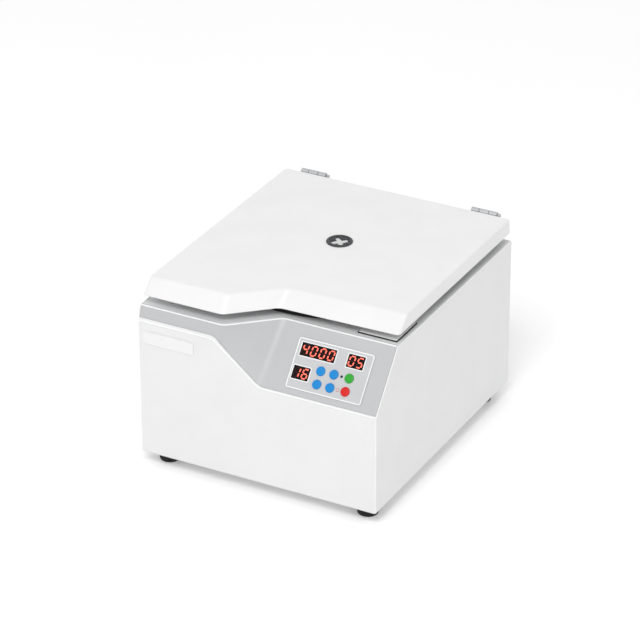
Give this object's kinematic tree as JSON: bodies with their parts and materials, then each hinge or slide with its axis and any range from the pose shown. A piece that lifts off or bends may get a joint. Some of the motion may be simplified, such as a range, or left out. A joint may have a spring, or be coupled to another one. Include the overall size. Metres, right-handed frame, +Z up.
{
  "type": "blood centrifuge",
  "caption": "Bench centrifuge: hinged lid over a bowl with a swing-out rotor, sloping control face with keys and digit displays, rubber feet, power inlet at the rear.",
  "frame": {"origin": "middle of the footprint's box on the bench", "axes": "+Z up, -Y towards the front with the controls, +X to the right as seen from the front"},
  "size_m": [0.36, 0.4223, 0.2782],
  "materials": {
    "white_paint": "smooth white powder coat, satin",
    "lid_paint": "smooth white paint, satin",
    "grey_paint": "pale blue-grey paint, satin",
    "deck_paint": "pale grey paint, satin",
    "plate_white": "white, smooth",
    "overlay_film": "fine-textured film",
    "display_black": "black window with red digits",
    "key_blue": "moulded key",
    "key_green": "moulded key",
    "key_red": "moulded key",
    "indicator_dark": "small lamp, unlit",
    "board_green": "green lacquered board",
    "stainless": "brushed round the axis",
    "black_rubber": "matt black",
    "motor_dark": "black paint",
    "zinc_steel": "bright zinc plate",
    "cast_aluminium": "machined casting",
    "black_plastic": "moulded",
    "sleeve_blue": "moulded blue",
    "port_grey": "dark grey moulding",
    "clear_window": "clear window",
    "star_white": "white moulding"
  },
  "bodies": {
    "cabinet": {"base_plate": "white_paint", "cabinet_wrap": "white_paint", "rear_panel": "white_paint", "top_deck": "deck_paint", "front_fascia": "grey_paint", "foot_front_left": "black_rubber", "foot_front_right": "black_rubber", "foot_rear_left": "black_rubber", "foot_rear_right": "black_rubber", "name_plate": "plate_white", "keypad_overlay": "overlay_film", "display_speed": "display_black", "display_time": "display_black", "display_program": "display_black", "indicator_run": "indicator_dark", "indicator_lid": "indicator_dark", "control_board": "board_green", "chamber_bowl": "stainless", "bowl_boot": "black_rubber", "lid_seal": "black_rubber", "motor_case": "motor_dark", "motor_plate": "zinc_steel", "motor_damper_1": "black_rubber", "motor_damper_2": "black_rubber", "motor_damper_3": "black_rubber", "lock_cover": "plate_white", "lock_cover_seal": "black_rubber", "lock_case": "black_plastic", "hinge_cabinet_leaf_left": "zinc_steel", "hinge_cabinet_leaf_right": "zinc_steel", "hinge_pin_left": "zinc_steel", "hinge_pin_right": "zinc_steel", "power_inlet": "black_plastic"},
    "lid": {"lid_shell": "lid_paint", "lid_liner": "deck_paint", "lid_striker": "zinc_steel", "port_ring": "port_grey", "port_window": "clear_window", "port_star": "star_white", "hinge_lid_leaf_left": "zinc_steel", "hinge_lid_leaf_right": "zinc_steel"},
    "rotor": {"drive_shaft": "zinc_steel", "rotor_yoke": "cast_aluminium", "rotor_nut": "zinc_steel"},
    "bucket_body_1": {"bucket_1": "stainless", "tube_sleeve_1": "sleeve_blue"},
    "bucket_body_2": {"bucket_2": "stainless", "tube_sleeve_2": "sleeve_blue"},
    "bucket_body_3": {"bucket_3": "stainless", "tube_sleeve_3": "sleeve_blue"},
    "bucket_body_4": {"bucket_4": "stainless", "tube_sleeve_4": "sleeve_blue"},
    "lock_bolt": {"lock_bolt": "zinc_steel"},
    "key_up": {"key_up": "key_blue"},
    "key_right": {"key_right": "key_blue"},
    "key_start": {"key_start": "key_green"},
    "key_down": {"key_down": "key_blue"},
    "key_left": {"key_left": "key_blue"},
    "key_stop": {"key_stop": "key_red"},
    "power_rocker": {"power_rocker": "black_plastic"}
  },
  "joints": [
    {"name": "lid_hinge", "type": "hinge", "parent": "cabinet", "child": "lid", "pos_m": [0, 0.20665, 0.2737], "axis": [-1, 0, 0], "range_deg": [0, 80]},
    {"name": "rotor_spin", "type": "hinge", "parent": "cabinet", "child": "rotor", "pos_m": [0, 0.02895, 0.2157], "axis": [0, 0, 1], "continuous": true},
    {"name": "bucket_swing_1", "type": "hinge", "parent": "rotor", "child": "bucket_body_1", "pos_m": [0.07, 0.02895, 0.2157], "axis": [0, -1, 0], "range_deg": [0, 90]},
    {"name": "bucket_swing_2", "type": "hinge", "parent": "rotor", "child": "bucket_body_2", "pos_m": [0, 0.09895, 0.2157], "axis": [1, 0, 0], "range_deg": [0, 90]},
    {"name": "bucket_swing_3", "type": "hinge", "parent": "rotor", "child": "bucket_body_3", "pos_m": [-0.07, 0.02895, 0.2157], "axis": [0, 1, 0], "range_deg": [0, 90]},
    {"name": "bucket_swing_4", "type": "hinge", "parent": "rotor", "child": "bucket_body_4", "pos_m": [0, -0.04105, 0.2157], "axis": [-1, 0, 0], "range_deg": [0, 90]},
    {"name": "lock_bolt_slide", "type": "slide", "parent": "cabinet", "child": "lock_bolt", "axis": [1, 0, 0], "range_m": [0, 0.0075]},
    {"name": "key_up_press", "type": "slide", "parent": "cabinet", "child": "key_up", "axis": [0, 0.7796, -0.6263], "range_m": [0, 0.001], "stiffness_N_per_m": 400, "springref_m": -0.0005},
    {"name": "key_right_press", "type": "slide", "parent": "cabinet", "child": "key_right", "axis": [0, 0.7796, -0.6263], "range_m": [0, 0.001], "stiffness_N_per_m": 400, "springref_m": -0.0005},
    {"name": "key_start_press", "type": "slide", "parent": "cabinet", "child": "key_start", "axis": [0, 0.7796, -0.6263], "range_m": [0, 0.001], "stiffness_N_per_m": 400, "springref_m": -0.0005},
    {"name": "key_down_press", "type": "slide", "parent": "cabinet", "child": "key_down", "axis": [0, 0.7796, -0.6263], "range_m": [0, 0.001], "stiffness_N_per_m": 400, "springref_m": -0.0005},
    {"name": "key_left_press", "type": "slide", "parent": "cabinet", "child": "key_left", "axis": [0, 0.7796, -0.6263], "range_m": [0, 0.001], "stiffness_N_per_m": 400, "springref_m": -0.0005},
    {"name": "key_stop_press", "type": "slide", "parent": "cabinet", "child": "key_stop", "axis": [0, 0.7796, -0.6263], "range_m": [0, 0.001], "stiffness_N_per_m": 400, "springref_m": -0.0005},
    {"name": "power_rocker_tilt", "type": "hinge", "parent": "cabinet", "child": "power_rocker", "pos_m": [0.115, 0.19985, 0.1052], "axis": [-1, 0, 0], "range_deg": [0, 14]}
  ]
}
